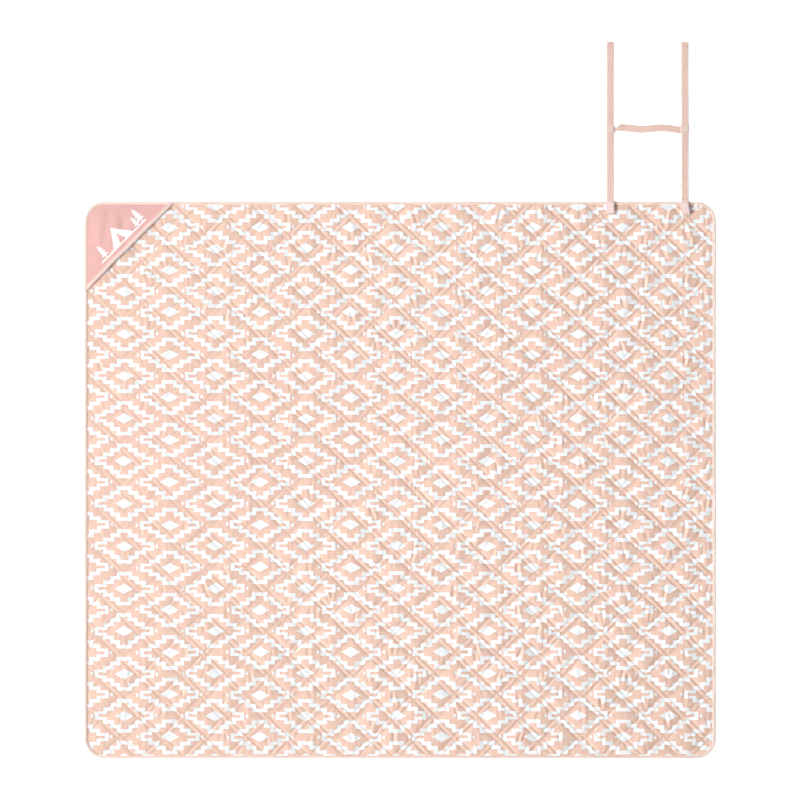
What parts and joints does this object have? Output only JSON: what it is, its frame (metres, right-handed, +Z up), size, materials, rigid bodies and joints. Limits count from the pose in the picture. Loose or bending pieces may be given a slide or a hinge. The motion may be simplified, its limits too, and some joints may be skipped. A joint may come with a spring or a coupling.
{
  "type": "camp blanket",
  "caption": "Quilted rectangular camp blanket with bound edge, corner pocket and a carry handle sliding on two webbing straps.",
  "frame": {"origin": "centre of the blanket's underside", "axes": "+Z up out of the printed face, +Y towards the edge that the carry straps are sewn to, +X towards the straps' side, the pocket being at -X +Y"},
  "size_m": [1.7, 1.931, 0.0089],
  "materials": {
    "printed_fabric": "peach woven polyester with a white print",
    "wadding": "white polyester wadding",
    "backing_fabric": "coated water-resistant cloth",
    "binding_tape": "folded grosgrain tape",
    "pocket_fabric": "plain pink woven polyester",
    "ink": "white screen print",
    "webbing": "20 mm woven webbing",
    "hook_tape": "hook and loop tape"
  },
  "bodies": {
    "right_half": {"backing_right": "backing_fabric", "wadding_right": "wadding", "face_fabric_right": "printed_fabric", "edge_binding_right": "binding_tape", "strap_inner_sewn_end": "webbing", "strap_outer_sewn_end": "webbing", "hook_tab_inner": "hook_tape", "hook_tab_outer": "hook_tape"},
    "left_half": {"backing_left": "backing_fabric", "wadding_left": "wadding", "face_fabric_left": "printed_fabric", "edge_binding_left": "binding_tape", "pocket_panel": "pocket_fabric", "pocket_mouth_binding": "binding_tape", "pocket_emblem": "ink"},
    "strap_inner": {"strap_inner_webbing": "webbing", "loop_patch_inner": "hook_tape"},
    "strap_outer": {"strap_outer_webbing": "webbing", "loop_patch_outer": "hook_tape"},
    "handle": {"handle_keeper_inner": "webbing", "handle_keeper_outer": "webbing", "handle_webbing": "webbing"}
  },
  "joints": [
    {"name": "half_fold", "type": "hinge", "parent": "right_half", "child": "left_half", "pos_m": [-0.003, 0, 0.0112], "axis": [0, 1, 0], "range_deg": [0, 180]},
    {"name": "strap_swing", "type": "hinge", "parent": "right_half", "child": "strap_inner", "pos_m": [0.566, 0.7518, 0.0064], "axis": [1, 0, 0], "range_deg": [0, 180]},
    {"name": "strap_outer_swing", "type": "hinge", "parent": "right_half", "child": "strap_outer", "pos_m": [0.767, 0.7518, 0.0064], "axis": [1, 0, 0], "range_deg": [0, 180]},
    {"name": "handle_slide", "type": "slide", "parent": "strap_inner", "child": "handle", "axis": [0, 1, 0], "range_m": [-0.17, 0.165]}
  ],
  "couplings": [
    {"joint": "strap_outer_swing", "follows": "strap_swing", "ratio": 1}
  ]
}
